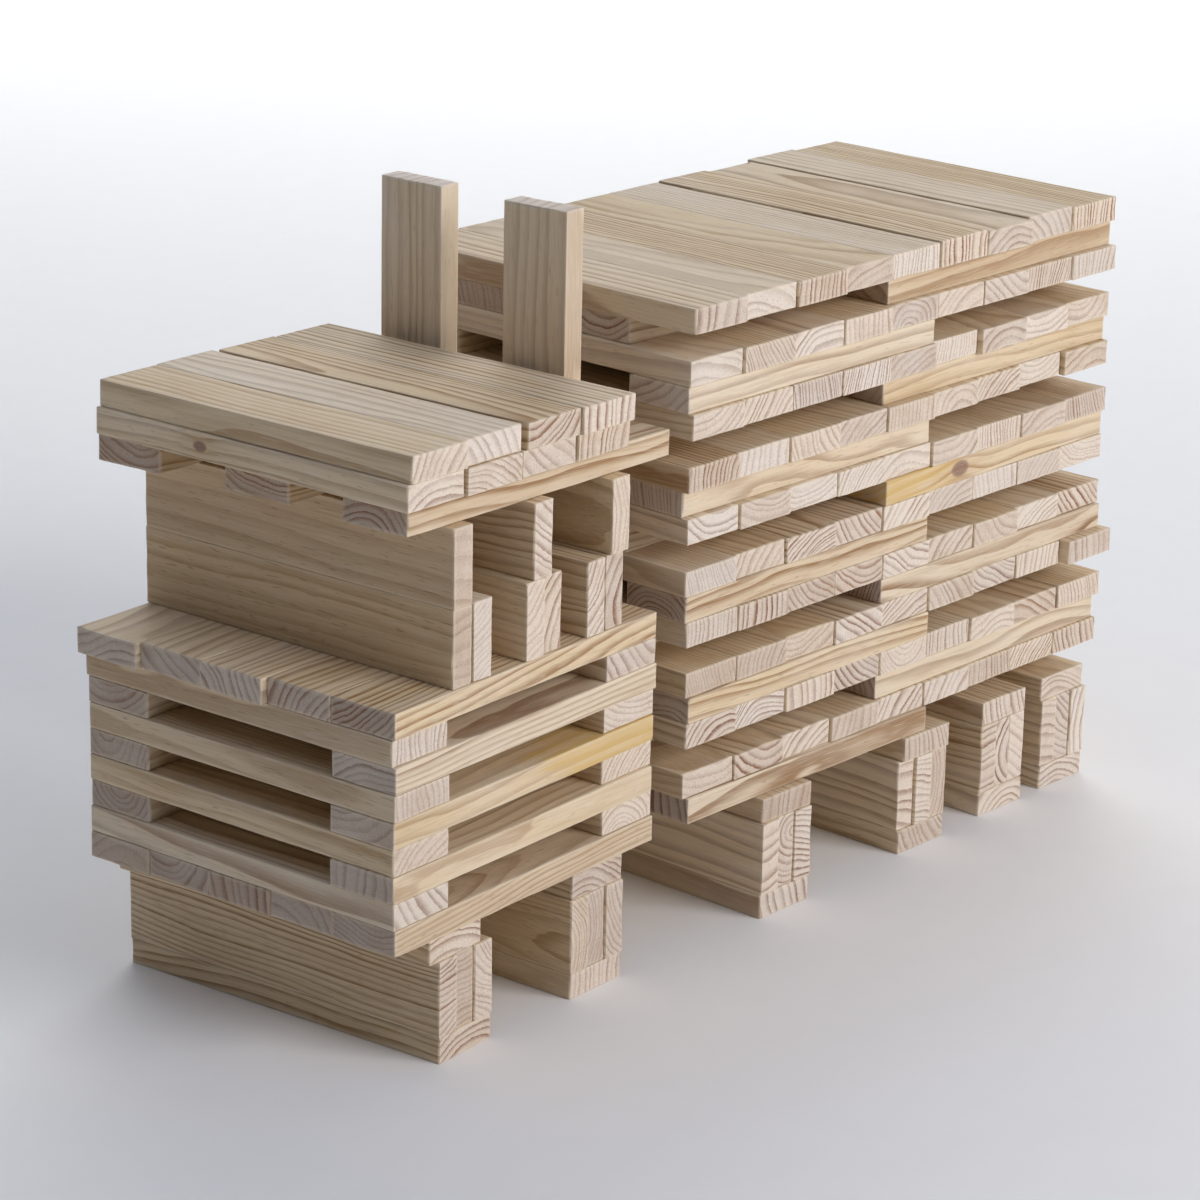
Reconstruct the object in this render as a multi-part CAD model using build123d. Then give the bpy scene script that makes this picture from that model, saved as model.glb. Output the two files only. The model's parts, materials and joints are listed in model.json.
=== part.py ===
from build123d import *
import os

# A toy lorry hand-stacked from loose pine planks, nearly all cut to one size.
# Frame: millimetres, +Z up, +X from the cab's front to the rear, +Y from the near side to the
# far side. The origin is on the ground, under the middle of the whole lorry. The layout below
# is written from the cab base's front near corner and moved to that origin at the end.

# ---- the one plank ---------------------------------------------------------------------------
PLANK_L = 117.0   # length
PLANK_W = 23.4    # width
PLANK_T = 8.0     # thickness
SLIM_W = 22.7     # width of the few narrower planks in the cabin
EDGE_R = 0.7      # sanded edge radius
JOINT = 0.06      # hair gap between planks laid side by side

# ---- cab -------------------------------------------------------------------------------------
AXLE_H = 2 * PLANK_T + PLANK_W            # flat plank, planks on edge, flat plank
CAB_AXLES = (                              # node, x and y of the near front corner, yaw, top shift
    ("cab_front_axle", 20.6, 0.5, 2.2, -4.2),
    ("cab_rear_axle", 79.6, 0.3, 0.0, 0.3),
)
CAB_LAYERS = 9                             # layers in the cab's base
CAB_BASE_TOP = AXLE_H + CAB_LAYERS * PLANK_T
TOP_ROW_X = (0.0, -0.4, -2.8, -2.3, -4.3)  # how the top row's ends stand, near to far
BOTTOM_ROW_X = (0.2, 0.6, -0.3, 0.1, -0.4)

# ---- cabin: planks on edge across the lorry, x and y of the near front corner -----------------
CABIN = (                                  # node, x, y, tier, width
    ("cabin_front_lower", 24.8, 0.3, 0, PLANK_W),
    ("cabin_front_brace", 33.6, 0.3, 0, PLANK_W),
    ("cabin_middle_lower_front", 56.3, -0.2, 0, PLANK_W),
    ("cabin_middle_lower_rear", 64.6, 0.5, 0, PLANK_W),
    ("cabin_rear_brace", 84.0, 0.0, 0, SLIM_W),
    ("cabin_rear_lower", 92.8, 0.4, 0, SLIM_W),
    ("cabin_front_upper", 24.4, -0.2, 1, PLANK_W),
    ("cabin_middle_upper", 59.2, -0.3, 1, SLIM_W),
    ("cabin_rear_upper", 93.9, -0.8, 1, SLIM_W),
)

# ---- cab roof: rests on the rear top edges of the three cabin walls and dips to the rear ------
ROOF_PIVOT_X = 32.4
ROOF_PIVOT_Z = CAB_BASE_TOP + 2 * PLANK_W
ROOF_DIP = 1.154
ROOF_RAILS = (                             # x and y of the near front corner, yaw
    (8.6, 3.4, 0.0),
    (9.8, 47.5, 1.8),
    (7.2, 93.9, 2.4),
)
ROOF_LOWER = ((5.3, 0.3), (29.6, -0.4), (53.9, 0.2), (78.3, -0.2))
ROOF_UPPER = ((6.2, -0.3), (29.9, 0.5), (54.9, -0.6), (78.8, -1.4))

# ---- exhaust stacks: planks stood on end between the roof rails --------------------------------
STACKS = (
    ("exhaust_stack_near", 105.4, 27.0),
    ("exhaust_stack_far", 106.2, 74.5),
)

# ---- load box: twenty layers, turned a little against the cab ---------------------------------
LOAD_AT = (132.1, 0.4)
LOAD_YAW = -3.83
LOAD_LAYERS = 20
LOAD_ROW = 9                               # planks across in one floor
PITCH = PLANK_W + JOINT
LOAD_LEN = LOAD_ROW * PITCH - JOINT
INNER_Y = (25.2, 72.8)                     # the two hidden bearers, from the near side
LOAD_AXLES = (
    ("load_axle_1", 33.7, -4.2, 0.0, 0.4),
    ("load_axle_2", 106.0, -1.6, 0.0, 0.9),
    ("load_axle_3", 151.2, 0.2, 0.0, 0.3),
    ("load_axle_4", 185.8, 0.8, 0.0, -0.9),
)
# Hand-laid unevenness of a whole layer, counted from the bottom: back, to the far side.
LAYER_SHIFT = {
    0: (1.8, -0.8), 1: (0.6, 0.0), 2: (-0.4, 1.3), 3: (0.8, 0.0), 4: (1.2, 0.2),
    5: (0.8, 0.0), 6: (-0.6, 0.4), 7: (0.3, 0.0), 8: (-0.4, 0.8), 9: (-0.6, 0.4),
    10: (-0.4, 0.3), 11: (0.0, 0.3), 12: (-0.2, 2.6), 13: (-0.6, 0.0), 14: (-0.3, 2.4),
    15: (0.2, 0.0), 16: (-0.4, 1.0), 17: (0.0, 0.2), 18: (-0.2, 2.2), 19: (0.0, 0.0),
}
# Near side bearers that lie a little askew: layer -> yaw.
ASKEW = {10: 0.9, 12: -0.7}
# Single planks that stand off their row: (layer, place) -> back, to the far side.
STRAY = {
    (3, 8): (0.7, -0.3), (5, 8): (0.5, -3.8), (7, 7): (0.0, 1.0), (7, 8): (0.0, 1.6),
    (13, 6): (0.0, 1.3), (13, 7): (0.0, 2.8), (13, 8): (0.2, 0.8), (15, 5): (0.0, 2.4),
    (15, 7): (0.0, 1.0), (15, 8): (0.0, 1.8), (19, 2): (0.0, -0.5), (19, 4): (0.0, 0.9),
    (19, 6): (0.0, -0.4), (19, 7): (0.0, 1.6), (19, 8): (0.0, 1.1),
}
ROOF_EXTRA_T = {5: 0.7, 7: 0.5}            # two of the top planks are cut thicker
# Small in and out steps along a row, repeated from plank to plank.
STEPS = (0.0, 0.5, -0.3, 0.2, -0.6, 0.4, -0.2, 0.7, -0.4, 0.1, -0.5, 0.3, 0.4)

FLAT_ACROSS = (PLANK_W, PLANK_L, PLANK_T)
FLAT_ALONG = (PLANK_L, PLANK_W, PLANK_T)

FRAMES = {
    "cab": Location((0, 0, 0)),
    "roof": Location((ROOF_PIVOT_X, 0, ROOF_PIVOT_Z), (0, ROOF_DIP, 0)),
    "load": Location((*LOAD_AT, 0), (0, 0, LOAD_YAW)),
}
layout = []                                # node, frame, low corner, size, yaw


def step(n):
    """One of the small repeated offsets."""
    return STEPS[n % len(STEPS)]


def put(node, frame, corner, size, yaw=0.0):
    """Lay one plank: its low corner, its size along X, Y and Z, its yaw about that corner."""
    layout.append((node, frame, corner, size, yaw))


def axle(node, frame, x, y, yaw, top_shift, n):
    """One axle block: a flat plank, three on edge side by side, and a flat plank on top."""
    block = Location((x, y, 0), (0, 0, yaw))
    inset = (PLANK_W - 3 * PLANK_T) / 2 - JOINT
    parts = [((0, 0, 0), FLAT_ACROSS)]
    for i in range(3):
        corner = (inset + i * (PLANK_T + JOINT), step(n + i), PLANK_T)
        parts.append((corner, (PLANK_T, PLANK_L, PLANK_W)))
    parts.append(((top_shift, step(n + 1), PLANK_T + PLANK_W), FLAT_ACROSS))
    for corner, size in parts:
        at = (block * Location(corner)).position
        put(node, frame, tuple(at), size, yaw)


def cab_base():
    """Nine layers: closed rows at the bottom and top, open pairs crossed between them."""
    rows = [i * (PLANK_L - PLANK_W) / 4 for i in range(5)]
    ends = (0.0, PLANK_L - PLANK_W)
    for layer in range(CAB_LAYERS):
        z = AXLE_H + layer * PLANK_T
        if layer == 0:
            for dx, y in zip(BOTTOM_ROW_X, rows):
                put("cab_base_bottom_row", "cab", (dx, y, z), FLAT_ALONG)
        elif layer == CAB_LAYERS - 1:
            for dx, y in zip(TOP_ROW_X, rows):
                put("cab_base_top_row", "cab", (dx, y, z), FLAT_ALONG)
        elif layer % 2:
            node = f"cab_base_cross_pair_{(layer + 1) // 2}"
            for i, x in enumerate(ends):
                put(node, "cab", (x, 0.4 + step(2 * layer + i), z), FLAT_ACROSS)
        else:
            node = f"cab_base_side_pair_{layer // 2}"
            for i, y in enumerate(ends):
                put(node, "cab", (step(2 * layer + i), y, z), FLAT_ALONG)


def cabin():
    """Three cabin walls with their braces, the roof on them and the two stacks behind."""
    lower_width = {x_tier[0]: x_tier[4] for x_tier in CABIN}
    for node, x, y, tier, width in CABIN:
        below = 0.0
        if tier:
            below = SLIM_W if node == "cabin_rear_upper" else lower_width["cabin_front_lower"]
        put(node, "cab", (x, y, CAB_BASE_TOP + below), (PLANK_T, PLANK_L, width))
    for x, y, yaw in ROOF_RAILS:
        put("cab_roof_rails", "roof", (x - ROOF_PIVOT_X, y, 0), FLAT_ALONG, yaw)
    for x, y in ROOF_LOWER:
        put("cab_roof_lower_row", "roof", (x - ROOF_PIVOT_X, y, PLANK_T), FLAT_ACROSS)
    for i, (x, y) in enumerate(ROOF_UPPER):
        corner = (x - ROOF_PIVOT_X, y, 2 * PLANK_T)
        put(f"cab_roof_plank_{i + 1}", "roof", corner, FLAT_ACROSS)
    for node, x, y in STACKS:
        put(node, "cab", (x, y, CAB_BASE_TOP), (PLANK_T, PLANK_W, PLANK_L))


def bearers(layer, z, sx, sy):
    """Two bearers on the sides at one end and two between them at the other end."""
    node = f"load_bearers_{layer // 2 + 1}"
    rear = LOAD_LEN - PLANK_L
    outer, inner = (0.0, rear) if layer % 4 == 0 else (rear, 0.0)
    corner = (sx + outer, sy + step(layer), z)
    put(node, "load", corner, FLAT_ALONG, ASKEW.get(layer, 0.0))
    far = (sx + outer + step(layer + 3), PLANK_L - PLANK_W + step(layer + 2), z)
    put(node, "load", far, FLAT_ALONG)
    for i, y in enumerate(INNER_Y):
        put(node, "load", (0.8 + inner + step(layer + i), y + sy / 2, z), FLAT_ALONG)


def floor(layer, z, sx, sy):
    """Nine planks side by side; the topmost floor is the load's roof."""
    for i in range(LOAD_ROW):
        dx, dy = STRAY.get((layer, i), (0.0, step(5 * layer + i)))
        corner = (sx + dx + i * PITCH, sy + dy, z)
        if layer == LOAD_LAYERS - 1:
            thick = PLANK_T + ROOF_EXTRA_T.get(i, 0.0)
            put(f"load_roof_plank_{i + 1}", "load", corner, (PLANK_W, PLANK_L, thick))
        else:
            put(f"load_floor_{(layer + 1) // 2}", "load", corner, FLAT_ACROSS)


def load_box():
    """Bearers and floors laid crosswise in turn."""
    for layer in range(LOAD_LAYERS):
        z = AXLE_H + layer * PLANK_T
        lay = floor if layer % 2 else bearers
        lay(layer, z, *LAYER_SHIFT[layer])


for n, (node, x, y, yaw, top_shift) in enumerate(CAB_AXLES):
    axle(node, "cab", x, y, yaw, top_shift, 2 * n)
cab_base()
cabin()
for n, (node, x, y, yaw, top_shift) in enumerate(LOAD_AXLES):
    axle(node, "load", x, y, yaw, top_shift, 3 * n + 4)
load_box()

shapes = {}


def plank(size):
    """A plank with all its edges rounded, low corner at the origin."""
    if size not in shapes:
        body = Box(*size, align=(Align.MIN, Align.MIN, Align.MIN))
        shapes[size] = fillet(body.edges(), EDGE_R)
    return shapes[size]


nodes = {}
for node, frame, corner, size, yaw in layout:
    place = FRAMES[frame] * Location(corner, (0, 0, yaw))
    nodes.setdefault(node, []).append(plank(size).moved(place))

whole = Compound([solid for solids in nodes.values() for solid in solids]).bounding_box()
to_origin = Location((-whole.center().X, -whole.center().Y, -whole.min.Z))

os.makedirs("parts", exist_ok=True)
for node, solids in nodes.items():
    solids = [solid.moved(to_origin) for solid in solids]
    shape = solids[0] if len(solids) == 1 else Compound(children=solids)
    export_step(shape, f"parts/{node}.step")
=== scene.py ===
"""Looks for the toy lorry stacked from pine planks: every CAD plank gets a detailed wooden stand-in."""

import json
import math
import random

import bpy
import numpy as np
from mathutils import Matrix, Vector


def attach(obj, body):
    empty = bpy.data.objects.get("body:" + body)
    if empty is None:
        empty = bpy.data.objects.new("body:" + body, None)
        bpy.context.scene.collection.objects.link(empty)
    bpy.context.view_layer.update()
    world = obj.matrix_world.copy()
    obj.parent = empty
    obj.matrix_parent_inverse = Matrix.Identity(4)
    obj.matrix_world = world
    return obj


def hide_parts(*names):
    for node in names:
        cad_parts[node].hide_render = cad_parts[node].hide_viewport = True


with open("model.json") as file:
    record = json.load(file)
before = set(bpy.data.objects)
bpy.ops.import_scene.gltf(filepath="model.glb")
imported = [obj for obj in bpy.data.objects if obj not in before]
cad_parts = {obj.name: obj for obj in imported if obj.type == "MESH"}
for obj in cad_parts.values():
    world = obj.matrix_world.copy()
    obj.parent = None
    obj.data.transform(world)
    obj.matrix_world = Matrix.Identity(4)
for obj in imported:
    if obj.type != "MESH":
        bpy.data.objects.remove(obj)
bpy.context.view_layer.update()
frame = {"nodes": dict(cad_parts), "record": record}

# The planks' shape, in metres.
END_HALF = 0.0585         # half of a plank's length
SET_BACK = 0.00002        # each face stands this far inside the CAD plank, so neighbours don't touch
EDGE_R = 0.00036          # rounding of the sanded edges
ROUND_STEPS = (0.0, 0.423, 0.732, 1.0)   # grid lines across the rounding, as parts of it
EDGE_CELL = 0.0007        # width of the mesh cell beside the rounding
CELLS = (14, 6, 2)        # mesh cells along, across and through the rest of a plank
SLOW_WEAR, FINE_WEAR = 0.00008, 0.00006  # depth of the wear along the edges
SAW_FUZZ, SAW_WAVE = 0.00006, 0.00008    # roughness of the sawn ends
CHIP = 0.00018            # depth of the chips on the rims of the ends

LENGTHWISE_PAINTED_SHADE = 0.32    # painted shade: extra darkening of the ends that face the front and rear of the lorry, standing for the shade on the front ends

# The wood's colours. A pair goes from a cool plank to a warm one.
FACE_EARLY = (0.765, 0.628, 0.458), (0.748, 0.580, 0.362)
FACE_LATE = (0.330, 0.190, 0.090), (0.350, 0.180, 0.060)
END_EARLY = (0.805, 0.705, 0.610), (0.785, 0.655, 0.520)
END_LATE = (0.255, 0.120, 0.066), (0.285, 0.118, 0.046)
DARK_FIBRE, PALE_FIBRE = (0.48, 0.31, 0.165), (0.84, 0.74, 0.60)
DASH = (0.27, 0.155, 0.08)
# END_DULL_AND_PAINTED_SHADE is the colour of dull end grain; it also carries the painted shade on the
# ends of planks that lie front to back.
END_FUZZ, END_PORE, END_DULL_AND_PAINTED_SHADE = (0.92, 0.87, 0.82), (0.34, 0.205, 0.13), (0.250, 0.165, 0.125)
PALE_PLANK, DARK_PLANK = (0.90, 0.82, 0.71), (0.40, 0.235, 0.115)
# pale edge colour: partly worn wood, partly a painted highlight on the rounded edges
PALE_EDGE_AND_HIGHLIGHT = (0.86, 0.75, 0.58)
RESIN = (0.70, 0.47, 0.16)
KNOT_GLOW, KNOT_PALE, KNOT_DARK = (0.47, 0.25, 0.08), (0.33, 0.19, 0.135), (0.22, 0.12, 0.09)

CAMERA_AT = (-0.96197, -0.73328, 0.49200)
CAMERA_AIM = (0.01469, 0.02453, 0.07994)
CAMERA_ROLL = 1.145       # degrees
LENS, SENSOR = 122.69, 36.0              # millimetres

FLOOR_HALF = 14.0
PAPER = (0.945, 0.925, 0.895), (0.92, 0.90, 0.87)
WASH_HEIGHT = 1.5
WASH_POWER = 3.0          # watts for each square metre of lamp
WASH_SPREAD = math.radians(90)
WASHES = (                # name, centre x and y, size x and y
    ("near", 0, -6.5, 22, 9),
    ("front", -6.5, 4, 9, 12),
    ("far", 4.5, 7.5, 13, 9),
    ("rear", 7.5, 0.5, 9, 5),
)


# ---- reading the planks out of the frame --------------------------------------------------------


def loose_parts(obj):
    """The separate solids of a node, each as an array of triangles."""
    mesh = obj.data
    mesh.calc_loop_triangles()
    co = np.empty(len(mesh.vertices) * 3)
    mesh.vertices.foreach_get("co", co)
    co = co.reshape(-1, 3)
    tris = np.empty(len(mesh.loop_triangles) * 3, dtype=np.int32)
    mesh.loop_triangles.foreach_get("vertices", tris)
    _, welded = np.unique(np.round(co, 6), axis=0, return_inverse=True)
    welded = welded.reshape(-1)
    corners = welded[tris].reshape(-1, 3)
    # Each point takes the lowest label among its neighbours until nothing changes.
    label = np.arange(welded.max() + 1)
    while True:
        low = label[corners].min(axis=1)
        after = label.copy()
        for k in range(3):
            np.minimum.at(after, corners[:, k], low)
        after = after[after]
        if (after == label).all():
            break
        label = after
    groups = label[corners[:, 0]]
    points = co[tris].reshape(-1, 3, 3)
    return [points[groups == g] for g in np.unique(groups)]


def plank_frame(tri):
    """Centre, axes (length, width, thickness) and size of one solid."""
    normal = np.cross(tri[:, 1] - tri[:, 0], tri[:, 2] - tri[:, 0])
    area = np.linalg.norm(normal, axis=1)
    keep = area > 1e-12
    normal, area = normal[keep] / area[keep, None], area[keep]
    # Opposite faces count as one direction; the odd numbers only break ties.
    normal *= np.sign(normal @ np.array([1.0, 0.113, 0.0127]))[:, None]

    def strongest(usable):
        """The direction that the largest area faces."""
        key = np.round(normal[usable], 3)
        _, group = np.unique(key, axis=0, return_inverse=True)
        group = group.reshape(-1)
        pick = group == np.bincount(group, weights=area[usable]).argmax()
        axis = (normal[usable][pick] * area[usable][pick, None]).sum(axis=0)
        return axis / np.linalg.norm(axis)

    thick = strongest(np.ones(len(area), bool))
    wide = strongest(np.abs(normal @ thick) < 0.02)
    wide -= thick * (wide @ thick)
    wide /= np.linalg.norm(wide)
    long = np.cross(wide, thick)
    long *= 1 if long @ np.array([1.0, 0.9, 0.8]) > 0 else -1
    thick = np.cross(long, wide)
    axes = np.array([long, wide, thick])
    local = tri.reshape(-1, 3) @ axes.T
    low, high = local.min(axis=0), local.max(axis=0)
    return axes.T @ ((low + high) / 2), axes, high - low


def sorted_parts(node):
    """A node's planks in a fixed order: by height, then from the front, then from the near side."""
    found = [plank_frame(tri) for tri in loose_parts(frame["nodes"][node])]
    return sorted(found, key=lambda p: tuple(np.round(p[0], 3)[[2, 0, 1]]))


# ---- one plank as a mesh -------------------------------------------------------------------------


def grid_lines(half, cells):
    """Grid lines from -half to half, closer together over the rounded edges."""
    edge = [half - EDGE_R * step for step in ROUND_STEPS]
    edge.append(half - EDGE_R - EDGE_CELL)
    inside = np.linspace(-edge[-1], edge[-1], cells + 1)[1:-1]
    return np.array(sorted([-e for e in edge] + list(inside) + edge))


TEMPLATES = {}


def template(size):
    """A rounded box: points, quads, outward directions, which points are on an edge, half sizes."""
    key = tuple(np.round(size, 5))
    if key in TEMPLATES:
        return TEMPLATES[key]
    half = np.array(key) / 2 - SET_BACK
    cuts = [grid_lines(h, cells) for h, cells in zip(half, CELLS)]
    points, quads = [], []
    for axis, (a, b) in enumerate([(1, 2), (2, 0), (0, 1)]):
        for sign in (-1, 1):
            u, v = np.meshgrid(cuts[a], cuts[b], indexing="ij")
            block = np.empty((u.size, 3))
            block[:, a], block[:, b], block[:, axis] = u.ravel(), v.ravel(), sign * half[axis]
            start = sum(len(p) for p in points)
            points.append(block)
            nu, nv = u.shape
            i, j = np.meshgrid(np.arange(nu - 1), np.arange(nv - 1), indexing="ij")
            base = start + (i * nv + j).ravel()
            face = np.stack([base, base + nv, base + nv + 1, base + 1], axis=1)
            quads.append(face if sign > 0 else face[:, ::-1])
    points, quads = np.concatenate(points), np.concatenate(quads)
    _, first, inverse = np.unique(
        np.round(points, 7), axis=0, return_index=True, return_inverse=True
    )
    points, quads = points[first], inverse.reshape(-1)[quads]
    core = np.clip(points, -(half - EDGE_R), half - EDGE_R)
    out = points - core
    out /= np.linalg.norm(out, axis=1)[:, None]
    on_edge = (np.abs(points) > half - EDGE_R * 1.001).sum(axis=1) >= 2
    TEMPLATES[key] = (core + EDGE_R * out, quads, out, on_edge, half)
    return TEMPLATES[key]


def ripple(points, rng, frequency, waves=5):
    """Smooth seeded noise over points, about -1 to 1; frequency is in radians per metre."""
    total = np.zeros(len(points))
    for _ in range(waves):
        k = np.array([rng.uniform(-1, 1) for _ in range(3)]) * frequency
        total += np.sin(points @ k + rng.uniform(0, 6.283))
    return total / math.sqrt(waves)


def dents(points, rng, depth, frequency, shift, most):
    """Depths of smooth dents, which leave the low parts of the ripple as they are."""
    return depth * np.clip(ripple(points, rng, frequency) + shift, 0, most)


def worn(size, rng):
    """A plank's points and quads with worn edges and slightly rough sawn ends."""
    rounded, quads, out, on_edge, half = template(size)
    pts = rounded.copy()
    wear = dents(rounded, rng, SLOW_WEAR, 260, 0.2, 2) + dents(rounded, rng, FINE_WEAR, 1500, 0, 2)
    pts[on_edge] -= out[on_edge] * wear[on_edge, None]
    end = np.abs(rounded[:, 0]) > half[0] - EDGE_R
    saw = SAW_FUZZ * ripple(rounded, rng, 900) + SAW_WAVE * ripple(rounded, rng, 250)
    pts[end, 0] -= np.sign(rounded[end, 0]) * np.abs(saw[end])
    chip = dents(rounded, rng, CHIP, 1900, -0.7, 1.5)
    rim = end & on_edge
    pts[rim] -= out[rim] * chip[rim, None]
    return pts, quads, on_edge


# ---- how each plank was sawn from its log --------------------------------------------------------


def sawn(rng):
    """Where the pith lies beside the plank, how the rings run along it, and the plank's tone."""
    style = rng.random()
    side = rng.choice((-1, 1))
    lean = rng.uniform(-0.012, 0.012)
    if style < 0.36:      # flat sawn: arcs on the end, cathedrals on the face
        angle = side * math.pi / 2 + rng.uniform(-0.5, 0.5)
        far = rng.uniform(8, 30)
        lean = rng.choice((-1, 1)) * rng.uniform(0.01, 0.06)
    elif style < 0.68:    # rift sawn: slanting lines on the end
        angle = side * rng.uniform(0.5, 1.1)
        far = rng.uniform(24, 60)
    else:                 # quarter sawn: upright lines on the end
        angle = rng.choice((0, math.pi)) + rng.uniform(-0.35, 0.35)
        far = rng.uniform(30, 80)
    return {
        "pith": (far * math.cos(angle), far * math.sin(angle)),
        "lean": (rng.uniform(-0.022, 0.022), lean),
        "bend": rng.uniform(-1, 1) * 1.5,
        "ring": rng.choice((1.5, 1.9, 2.2, 2.6, 3.2)) * rng.uniform(0.9, 1.1),
        "contrast": 0.35 + 1.05 * rng.random() ** 1.6,
        "light": rng.gauss(0, 0.65),
        "warm": rng.uniform(0, 1),
        "knot": (0.0, 0.0, 0.0),
        "resin": (0.0, 0.0, 0.0),
        "streak": rng.uniform(0.15, 0.4),
    }


def cut(pith, ring, contrast=0.8, light=0.0, warm=0.5, lean=(0.004, 0.006), **marks):
    """A plank sawn in a chosen way. The pith's place across the width and thickness, the width of
    a ring and the marks are in millimetres; light is 0 for a middling plank and more for a paler one.
    A knot has its place along, its place across and its radius, which is negative where the knot
    runs through the width. Resin has its start, its end and its strength."""
    return {"pith": pith, "ring": ring, "contrast": contrast, "light": light, "warm": warm,
            "lean": lean, **marks}


# The planks that stand out in the pile: node and place within it, and how each one is cut.
SPECIAL = {
    ("cab_front_axle", 1): cut((46, -12), 2.0, 1.00, -0.1, 0.6, (0.03, 0.02), bend=3.0),
    ("cab_front_axle", 0): cut((3, 16), 2.2, 0.95, 0.0, 0.8),
    ("cab_front_axle", 4): cut((-4, 22), 2.4, 0.90, 0.0, 0.8),
    ("cab_base_top_row", 0): cut((-7, -20), 2.8, 0.75, 0.6, 0.6),
    ("cab_base_top_row", 1): cut((40, -26), 2.4, 0.95, 0.7, 0.7),
    ("cab_base_top_row", 2): cut((-26, 30), 3.0, 0.80, 0.8, 0.8),
    ("cab_base_top_row", 3): cut((-34, -24), 2.3, 1.25, 0.3, 0.9),
    ("cab_base_top_row", 4): cut((30, 34), 1.9, 1.60, 0.3, 1.0, (0.05, 0.03)),
    # The two front walls are set darker: partly their wood, partly painted shade for their front faces
    # in shade under the roof.
    ("cabin_front_lower", 0): cut((70, -9), 4.8, 0.42, -0.9, 1.0, streak=0.5),
    ("cabin_front_upper", 0): cut((-60, -10), 5.6, 0.28, -1.3, 0.6, streak=0.4),
    ("exhaust_stack_near", 0): cut((58, 12), 4.4, 0.60, 1.4, 0.9, (0.02, 0.0)),
    ("exhaust_stack_far", 0): cut((-62, 6), 4.2, 0.60, 1.3, 0.6, (-0.01, 0.0)),
    ("cab_roof_plank_1", 0): cut((44, 18), 3.0, 0.60, -0.1, 0.7),
    ("cab_roof_plank_2", 0): cut((-34, 22), 3.6, 0.50, 0.9, 0.1),
    ("cab_roof_plank_3", 0): cut((-9, -14), 2.3, 1.40, 0.0, 1.0, (0.0, 0.03)),
    ("cab_roof_plank_4", 0): cut((52, 4), 2.9, 1.10, 0.4, 0.7),
    ("load_roof_plank_1", 0): cut((70, 4), 4.6, 0.75, 0.4, 0.5),
    ("load_roof_plank_2", 0): cut((-6, 22), 2.9, 0.45, 0.3, 0.3, (0.0, 0.03)),
    ("load_roof_plank_3", 0): cut((60, 6), 2.1, 1.10, -0.4, 0.9),
    ("load_roof_plank_4", 0): cut((8, 26), 3.4, 0.40, 0.0, 0.9, (0.0, -0.04)),
    ("load_roof_plank_5", 0): cut((-70, 5), 1.7, 0.60, 0.6, 0.2),
    ("load_roof_plank_6", 0): cut((64, 2), 2.5, 1.50, 0.1, 1.0),
    ("load_roof_plank_7", 0): cut((5, 17), 2.8, 0.75, 0.2, 0.6, (0.0, 0.03)),
    ("load_roof_plank_8", 0): cut((-30, 26), 2.7, 0.60, 0.5, 0.3),
    ("load_roof_plank_9", 0): cut((58, 3), 1.9, 1.50, -0.1, 1.0),
    ("cab_roof_lower_row", 3): cut((6, 30), 3.0, 0.60, 0.4, 0.5, knot=(18.0, 0.0, -1.6)),
    ("load_bearers_6", 2): cut((3, 20), 2.6, 0.70, 0.3, 0.9, knot=(-20.0, 0.4, -2.8),
                               resin=(-75.0, -22.0, 1.0)),
    ("load_axle_1", 1): cut((60, -14), 4.4, 0.85, 1.3, 1.0),
    ("load_axle_1", 2): cut((5, 3), 1.9, 0.90, 0.3, 0.6),
    ("load_axle_2", 1): cut((-64, -10), 3.8, 0.90, 1.1, 1.0),
    ("load_axle_3", 1): cut((52, -6), 2.7, 1.20, 0.9, 1.0),
    ("load_axle_4", 1): cut((-50, -8), 3.2, 0.90, 0.9, 0.9),
    ("cab_base_side_pair_2", 0): cut((12, 30), 3.2, 0.50, 0.4, 0.9, resin=(12.0, 75.0, 1.0)),
}


def plank_attributes(mm, on_edge, saw, lengthwise, rng):
    """What the wood reads at each point of a plank, as rows of three numbers."""
    x = mm[:, 0]
    bow = saw["bend"] * (x / (END_HALF * 1000)) ** 2
    log = np.stack([
        x + rng.uniform(0, 900),
        mm[:, 1] - saw["pith"][0] - saw["lean"][0] * x - bow * 0.4,
        mm[:, 2] - saw["pith"][1] - saw["lean"][1] * x - bow,
    ], axis=1)
    first_ring = rng.uniform(0, 500)
    # Some ends are duller at random; the ends of planks lying front to back are darkened further as
    # painted shade.
    dull_and_painted_shade = rng.choice((0.0, 0.0, 0.05, 0.12, 0.2)) + (LENGTHWISE_PAINTED_SHADE if lengthwise else 0.0)

    def throughout(*values):
        return np.tile(values, (len(mm), 1))

    return {
        "log": log,       # place in the log, with the pith at y = z = 0
        "local": mm,      # place in the plank
        "saw": throughout(first_ring, saw["ring"], saw["contrast"]),
        "tone": np.column_stack([throughout(saw["light"], saw["warm"]), on_edge]),
        "knot": throughout(*saw["knot"]),
        "resin": throughout(*saw["resin"]),
        "dullness_shade_streak": throughout(dull_and_painted_shade, saw["streak"], 0.0),
    }


def quad_mesh(name, verts, faces):
    mesh = bpy.data.meshes.new(name)
    mesh.vertices.add(len(verts))
    mesh.vertices.foreach_set("co", verts.ravel())
    mesh.loops.add(len(faces) * 4)
    mesh.loops.foreach_set("vertex_index", faces.ravel())
    mesh.polygons.add(len(faces))
    mesh.polygons.foreach_set("loop_start", np.arange(0, len(faces) * 4, 4))
    mesh.update(calc_edges=True)
    mesh.validate()
    mesh.polygons.foreach_set("use_smooth", np.ones(len(faces), bool))
    return mesh


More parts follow.
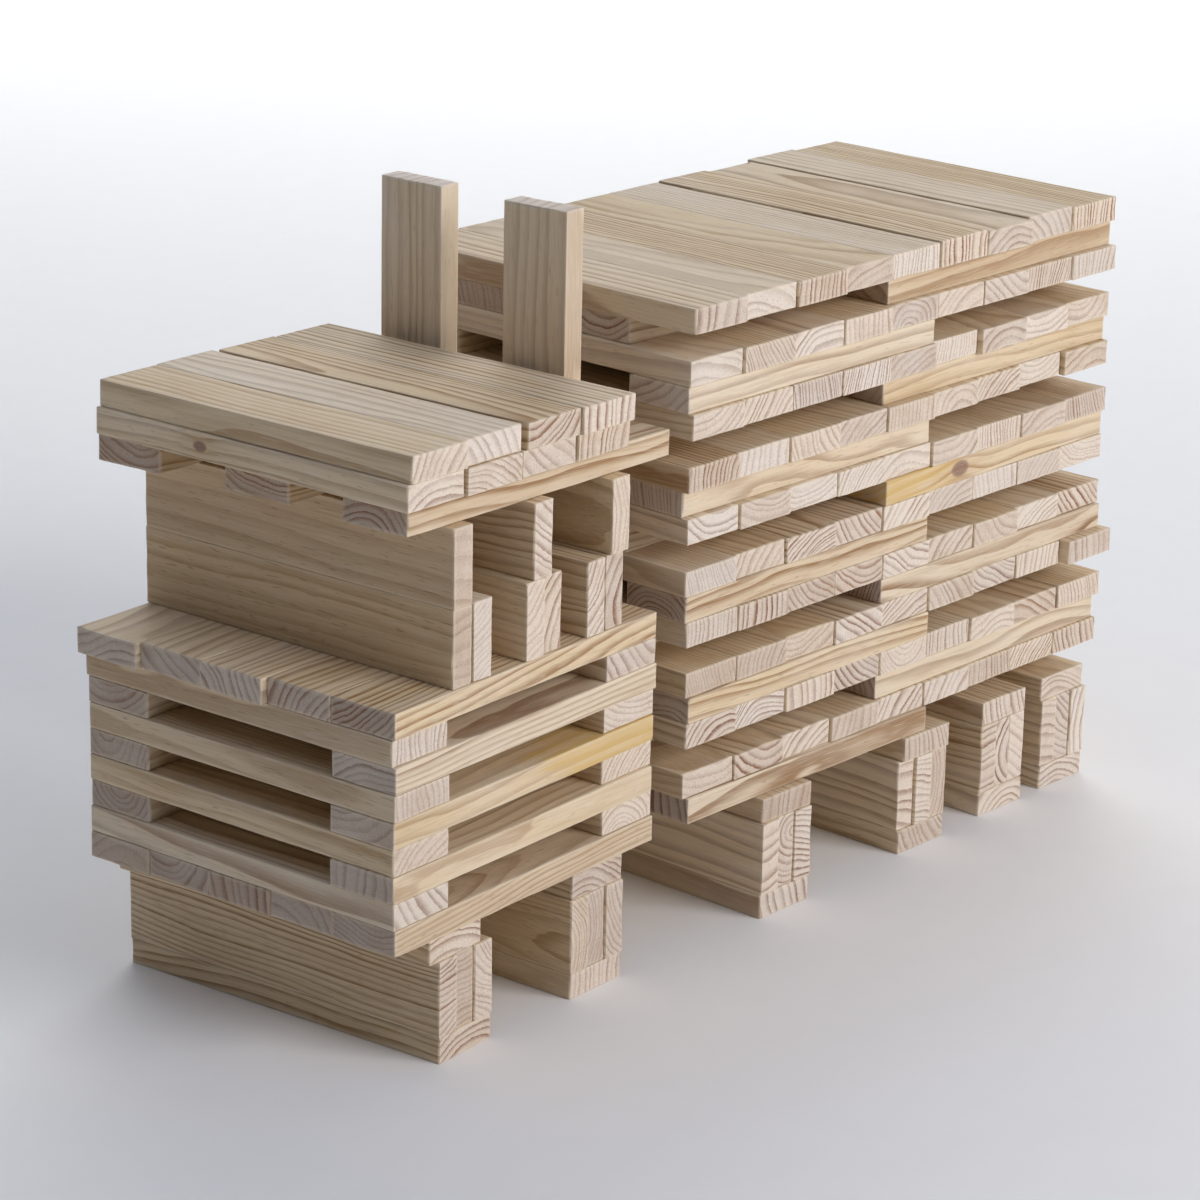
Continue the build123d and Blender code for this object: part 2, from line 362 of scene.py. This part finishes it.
def build_node(node, material):
    """One piece per node, holding a detailed plank for each of its solids."""
    verts, faces, attributes = [], [], []
    start = 0
    for i, (centre, axes, size) in enumerate(sorted_parts(node)):
        rng = random.Random(f"{node} {i} pine")
        saw = {**sawn(rng), **SPECIAL.get((node, i), {})}
        pts, quads, on_edge = worn(size, rng)
        lengthwise = abs(axes[0][0]) > 0.7
        attributes.append(plank_attributes(pts * 1000, on_edge, saw, lengthwise, rng))
        verts.append(pts @ axes + centre)
        faces.append(quads + start)
        start += len(pts)
    mesh = quad_mesh(f"{node}_planks", np.concatenate(verts), np.concatenate(faces))
    for name in attributes[0]:
        values = np.concatenate([plank[name] for plank in attributes])
        made = mesh.attributes.new(name, "FLOAT_VECTOR", "POINT")
        made.data.foreach_set("vector", values.astype(np.float32).ravel())
    mesh.materials.append(material)
    obj = bpy.data.objects.new(f"{node}_planks", mesh)
    bpy.context.scene.collection.objects.link(obj)
    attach(obj, BODY_OF[node])
    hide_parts(node)


# ---- the wood ------------------------------------------------------------------------------------


class Tree:
    """Short calls for building a node tree."""

    def __init__(self, material):
        material.use_nodes = True
        self.nt = material.node_tree
        self.nt.nodes.clear()

    def new(self, kind, **settings):
        node = self.nt.nodes.new(kind)
        for name, value in settings.items():
            setattr(node, name, value)
        return node

    def feed(self, socket, value):
        if isinstance(value, bpy.types.NodeSocket):
            self.nt.links.new(value, socket)
        else:
            socket.default_value = value

    def attribute(self, name):
        """The three numbers of a vertex attribute."""
        node = self.new("ShaderNodeSeparateXYZ")
        self.feed(node.inputs[0], self.new("ShaderNodeAttribute", attribute_name=name).outputs["Vector"])
        return tuple(node.outputs)

    def join(self, x, y, z):
        node = self.new("ShaderNodeCombineXYZ")
        for socket, value in zip(node.inputs, (x, y, z)):
            self.feed(socket, value)
        return node.outputs[0]

    def math(self, operation, *values):
        node = self.new("ShaderNodeMath", operation=operation)
        for socket, value in zip(node.inputs, values):
            self.feed(socket, value)
        return node.outputs[0]

    def add(self, a, b):
        return self.math("ADD", a, b)

    def sub(self, a, b):
        return self.math("SUBTRACT", a, b)

    def mul(self, a, b):
        return self.math("MULTIPLY", a, b)

    def power(self, a, b):
        return self.math("POWER", a, b)

    def size(self, a):
        return self.math("ABSOLUTE", a)

    def step(self, value, low, high):
        """A smooth step from 0 at low to 1 at high."""
        node = self.new("ShaderNodeMapRange", interpolation_type="SMOOTHSTEP")
        for socket, number in zip(node.inputs, (value, low, high)):
            self.feed(socket, number)
        return node.outputs[0]

    def noise(self, vector, scale=1.0, detail=0.0, rough=0.5):
        node = self.new("ShaderNodeTexNoise")
        self.feed(node.inputs["Vector"], vector)
        node.inputs["Scale"].default_value = scale
        node.inputs["Detail"].default_value = detail
        node.inputs["Roughness"].default_value = rough
        return node.outputs["Fac"]

    def stretched(self, point, scales, detail=0.0, rough=0.5):
        """Noise over a point whose three numbers are scaled one by one."""
        scaled = [self.mul(number, scale) for number, scale in zip(point, scales)]
        return self.noise(self.join(*scaled), 1.0, detail, rough)

    def white(self, value):
        node = self.new("ShaderNodeTexWhiteNoise", noise_dimensions="1D")
        self.feed(node.inputs["W"], value)
        return node.outputs["Value"]

    def mix(self, factor, a, b):
        """Colour a where the factor is 0, colour b where it is 1."""
        node = self.new("ShaderNodeMix", data_type="RGBA")
        self.feed(node.inputs[0], factor)
        for socket, value in zip((node.inputs[6], node.inputs[7]), (a, b)):
            self.feed(socket, (*value, 1.0) if isinstance(value, tuple) else value)
        return node.outputs[2]

    def surface(self, colour, roughness, specular, normal=None, ior=1.5):
        """Ends the tree with a plain surface."""
        shader = self.new("ShaderNodeBsdfPrincipled")
        self.feed(shader.inputs["Base Color"], colour)
        self.feed(shader.inputs["Roughness"], roughness)
        shader.inputs["Specular IOR Level"].default_value = specular
        shader.inputs["IOR"].default_value = ior
        if normal is not None:
            self.feed(shader.inputs["Normal"], normal)
        out = self.new("ShaderNodeOutputMaterial")
        self.feed(out.inputs["Surface"], shader.outputs["BSDF"])


def knot_distance(t, local):
    """How many knot radii a point is from its plank's knot, whether there is one, and its radius."""
    along, across, radius = t.attribute("knot")
    px, py, pz = local
    through_width = t.math("LESS_THAN", radius, 0.0)
    has_knot = t.math("GREATER_THAN", t.size(radius), 0.05)
    radius = t.math("MAXIMUM", t.size(radius), 0.001)
    side = t.add(t.mul(pz, through_width), t.mul(py, t.sub(1.0, through_width)))
    dx, dy = t.sub(px, along), t.sub(side, across)
    away = t.math("SQRT", t.add(t.mul(t.mul(dx, dx), 0.36), t.mul(dy, dy)))
    return t.math("DIVIDE", away, radius), has_knot, radius


def growth_rings(t, log, end_rough, bulge):
    """How far through its year's ring a point is, and how dark the late wood is there."""
    first_ring, ring, contrast = t.attribute("saw")
    _, ly, lz = log
    slow = t.stretched(log, (0.013, 0.045, 0.045), 1.0)
    fine = t.stretched(log, (0.05, 0.26, 0.26), 1.0)
    dist = t.math("SQRT", t.add(t.mul(ly, ly), t.mul(lz, lz)))
    dist = t.add(dist, t.mul(t.sub(slow, 0.5), 7.0))
    dist = t.add(dist, t.mul(t.sub(fine, 0.5), 0.8))
    dist = t.add(dist, t.mul(end_rough, 0.30))
    dist = t.add(dist, bulge)
    count = t.add(t.math("DIVIDE", dist, ring), first_ring)
    drift = t.noise(t.join(t.mul(count, 0.45), 0.0, 0.0))
    count = t.add(count, t.mul(t.sub(drift, 0.5), 1.6))
    year = t.math("FLOOR", count)
    part = t.math("FRACT", count)
    late = t.mul(t.step(part, 0.34, 0.90), t.step(part, 1.0, 0.94))
    late = t.power(late, 1.7)
    late = t.mul(late, t.add(0.28, t.mul(t.white(year), 0.72)))
    return part, t.mul(late, contrast)


def resin_soak(t, local, part, fibre):
    """How soaked with resin a point is: a stretch of the plank with ragged ends."""
    start, stop, strength = t.attribute("resin")
    ragged = t.stretched(local, (0.03, 0.3, 0.42), 2.0, 0.6)
    along = t.add(local[0], t.mul(t.sub(ragged, 0.5), 70.0))
    soaked = t.mul(t.step(along, t.sub(start, 6.0), t.add(start, 12.0)),
                   t.step(along, t.add(stop, 4.0), t.sub(stop, 12.0)))
    soaked = t.mul(soaked, strength)
    return t.mul(soaked, t.add(t.mul(part, 0.55), t.mul(fibre, 0.85)))


def pine():
    """Sanded, unfinished pine: one set of growth rings cut by every face of a plank."""
    material = bpy.data.materials.new("pine")
    t = Tree(material)
    log, local = t.attribute("log"), t.attribute("local")
    light, warm, edge = t.attribute("tone")
    dull_and_painted_shade, streak, _ = t.attribute("dullness_shade_streak")

    # Fibres along the faces; pores and saw fuzz on the ends.
    fibre = t.stretched(log, (0.03, 1.3, 1.3), 2.0, 0.65)
    thin = t.stretched(log, (0.11, 3.0, 3.0))
    dash = t.step(t.stretched(log, (0.2, 2.1, 2.1)), 0.70, 0.78)
    speck = t.stretched(local, (1.0, 1.7, 1.7), 2.0, 0.75)
    cloud = t.stretched(log, (0.02, 0.09, 0.09), 1.0)
    end = t.step(t.size(local[0]), END_HALF * 1000 - 0.55, END_HALF * 1000 - 0.2)

    # The rings bulge around a knot.
    near, has_knot, radius = knot_distance(t, local)
    swell = t.mul(t.math("EXPONENT", t.mul(t.mul(near, near), -0.16)), has_knot)
    bulge = t.mul(swell, t.mul(radius, 0.9))
    part, late = growth_rings(t, log, t.mul(t.sub(speck, 0.5), end), bulge)

    face = t.mix(t.power(late, 0.62), t.mix(warm, *FACE_EARLY), t.mix(warm, *FACE_LATE))
    face = t.mix(t.mul(t.step(fibre, 0.45, 0.75), 0.40), face, DARK_FIBRE)
    face = t.mix(t.mul(t.step(thin, 0.5, 0.75), 0.25), face, PALE_FIBRE)
    face = t.mix(t.mul(dash, streak), face, DASH)
    ends = t.mix(t.power(late, 0.78), t.mix(warm, *END_EARLY), t.mix(warm, *END_LATE))
    ends = t.mix(t.mul(t.step(speck, 0.54, 0.74), 0.50), ends, END_FUZZ)
    ends = t.mix(t.mul(t.step(speck, 0.47, 0.30), 0.32), ends, END_PORE)
    # Dull ends, plus painted shade on the ends of planks that lie front to back.
    ends = t.mix(dull_and_painted_shade, ends, END_DULL_AND_PAINTED_SHADE)
    wood = t.mix(end, face, ends)

    # The plank's own lightness, with slow clouds over it, and paler edges: partly wear, partly a painted
    # highlight along the rounded edges.
    shade = t.add(t.mul(light, 0.20), t.mul(t.sub(cloud, 0.5), 0.55))
    wood = t.mix(t.math("MAXIMUM", shade, 0.0), wood, PALE_PLANK)
    wood = t.mix(t.math("MAXIMUM", t.mul(shade, -1.0), 0.0), wood, DARK_PLANK)
    wood = t.mix(t.mul(edge, t.add(0.10, t.mul(fibre, 0.35))), wood, PALE_EDGE_AND_HIGHLIGHT)

    # Amber resin, and the knot: a warm glow around a ringed core.
    soaked = resin_soak(t, local, part, fibre)
    wood = t.mix(t.mul(soaked, 0.9), wood, RESIN)
    glow = t.mul(t.step(near, 4.5, 1.0), has_knot)
    wood = t.mix(t.mul(glow, t.add(0.15, t.mul(late, 0.7))), wood, KNOT_GLOW)
    knot_rings = t.step(t.math("FRACT", t.mul(near, 3.2)), 0.3, 0.9)
    core = t.mul(t.step(near, 1.15, 0.70), t.mul(has_knot, 0.85))
    wood = t.mix(core, wood, t.mix(knot_rings, KNOT_PALE, KNOT_DARK))

    # Relief: the fibres show on the faces, and the sawn ends are fuzzy.
    height = t.mul(t.add(t.mul(thin, 0.5), t.mul(fibre, 0.6)), t.sub(1.0, end))
    height = t.add(height, t.mul(t.mul(speck, 1.8), end))
    bump = t.new("ShaderNodeBump")
    bump.inputs["Strength"].default_value = 0.6
    bump.inputs["Distance"].default_value = 0.00018
    t.feed(bump.inputs["Height"], height)

    # Late wood and resin are a little glossier, and the ends are duller.
    roughness = t.add(0.60, t.mul(fibre, 0.16))
    roughness = t.sub(roughness, t.mul(late, 0.10))
    roughness = t.add(roughness, t.mul(end, 0.12))
    roughness = t.sub(roughness, t.mul(soaked, 0.18))
    t.surface(wood, roughness, 0.32, bump.outputs["Normal"], ior=1.45)
    return material


BODY_OF = {node: body for body, names in frame["record"]["behaviour"]["bodies"].items()
           for node in names}

wood = pine()
for node in sorted(frame["nodes"]):
    build_node(node, wood)


# ---- floor, camera and light ---------------------------------------------------------------------


def stage_floor():
    """A wide sheet of pale paper."""
    mesh = bpy.data.meshes.new("floor")
    s = FLOOR_HALF
    mesh.from_pydata([(-s, -s, 0), (s, -s, 0), (s, s, 0), (-s, s, 0)], [], [(0, 1, 2, 3)])
    floor = bpy.data.objects.new("floor", mesh)
    bpy.context.scene.collection.objects.link(floor)
    material = bpy.data.materials.new("floor_paper")
    t = Tree(material)
    grain = t.noise(t.new("ShaderNodeTexCoord").outputs["Object"], 60.0, 3.0)
    t.surface(t.mix(grain, *PAPER), 0.9, 0.1)
    mesh.materials.append(material)


def add_camera():
    """A long lens, a little above the lorry's front near corner."""
    data = bpy.data.cameras.new("camera")
    data.lens = LENS
    data.sensor_width = SENSOR
    data.clip_end = 100.0
    cam = bpy.data.objects.new("camera", data)
    bpy.context.scene.collection.objects.link(cam)
    place = Vector(CAMERA_AT)
    forward = (Vector(CAMERA_AIM) - place).normalized()
    level = forward.cross(Vector((0, 0, 1))).normalized()
    upright = level.cross(forward)
    roll = math.radians(CAMERA_ROLL)
    right = level * math.cos(roll) + upright * math.sin(roll)
    up = upright * math.cos(roll) - level * math.sin(roll)
    basis = Matrix((right, up, -forward)).transposed().to_4x4()
    basis.translation = place
    cam.matrix_world = basis
    bpy.context.scene.camera = cam


def softbox(name, place, aim, size, power, colour, spread=math.pi):
    """A rectangular lamp at a place, turned to face a point."""
    data = bpy.data.lights.new(name, "AREA")
    data.shape = "RECTANGLE"
    data.size, data.size_y = size
    data.energy = power
    data.color = colour
    data.spread = spread
    lamp = bpy.data.objects.new(name, data)
    lamp.location = place
    towards = Vector(aim) - Vector(place)
    lamp.rotation_euler = towards.to_track_quat("-Z", "Y").to_euler()
    bpy.context.scene.collection.objects.link(lamp)


def dim_world():
    """A faint warm fill, so that the deepest slots aren't black."""
    world = bpy.data.worlds.new("studio")
    bpy.context.scene.world = world
    world.use_nodes = True
    background = world.node_tree.nodes["Background"]
    background.inputs["Color"].default_value = (1.0, 0.80, 0.56, 1.0)
    background.inputs["Strength"].default_value = 0.01


stage_floor()
add_camera()
softbox("key", (0.36, -2.1, 1.0), (0.0, 0.0, 0.08), (1.3, 1.1), 34.5, (0.99, 0.975, 1.0))
softbox("overhead", (-0.4, 0.2, 3.2), (-0.4, 0.2, 0.0), (6.0, 6.0), 66.0, (0.84, 0.945, 1.17))
softbox("far_floor", (2.0, 1.65, 1.6), (2.0, 1.65, 0.0), (2.4, 2.4), 56.0, (0.99, 1.0, 1.0))
# Wide lamps with a narrow spread keep the distant floor pale on every side; none shines on the lorry.
for name, x, y, wide, deep in WASHES:
    softbox(f"floor_wash_{name}", (x, y, WASH_HEIGHT), (x, y, 0.0), (wide, deep),
            WASH_POWER * wide * deep, (0.98, 1.0, 1.02), WASH_SPREAD)
dim_world()
bpy.context.scene.view_settings.view_transform = "Standard"
